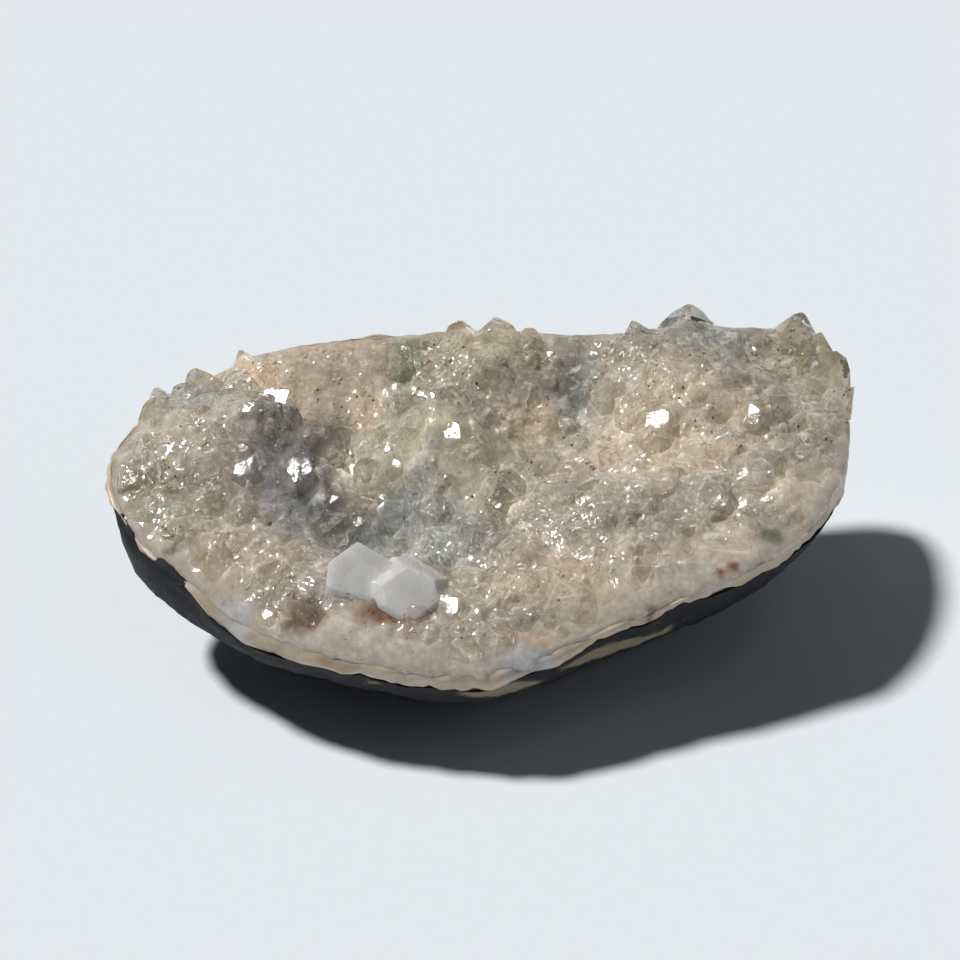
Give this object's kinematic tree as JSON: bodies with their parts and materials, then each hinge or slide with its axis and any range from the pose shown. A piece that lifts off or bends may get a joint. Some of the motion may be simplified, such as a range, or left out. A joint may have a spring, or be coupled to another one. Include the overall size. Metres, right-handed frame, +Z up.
{
  "type": "quartz druse",
  "caption": "Boat-shaped shard of a crystal-lined cavity: dark basalt rind, cream chalcedony lining and a glittering crust of quartz crystals.",
  "frame": {"origin": "under the middle of the shard's box, on the surface that it rests on", "axes": "+X along the shard, -Y towards the low front rim, +Z up"},
  "size_m": [0.1529, 0.0831, 0.0568],
  "materials": {
    "basalt": "matt, finely grained broken basalt, near black with a violet tinge",
    "chalcedony": "waxy cream chalcedony with peach, bluish-white and rust-stained patches",
    "quartz": "translucent quartz crystals, champagne to smoky grey and faint green, with glassy faces"
  },
  "bodies": {
    "root": {"basalt_rind": "basalt", "chalcedony_lining": "chalcedony", "crystal_crust": "quartz"}
  },
  "joints": []
}
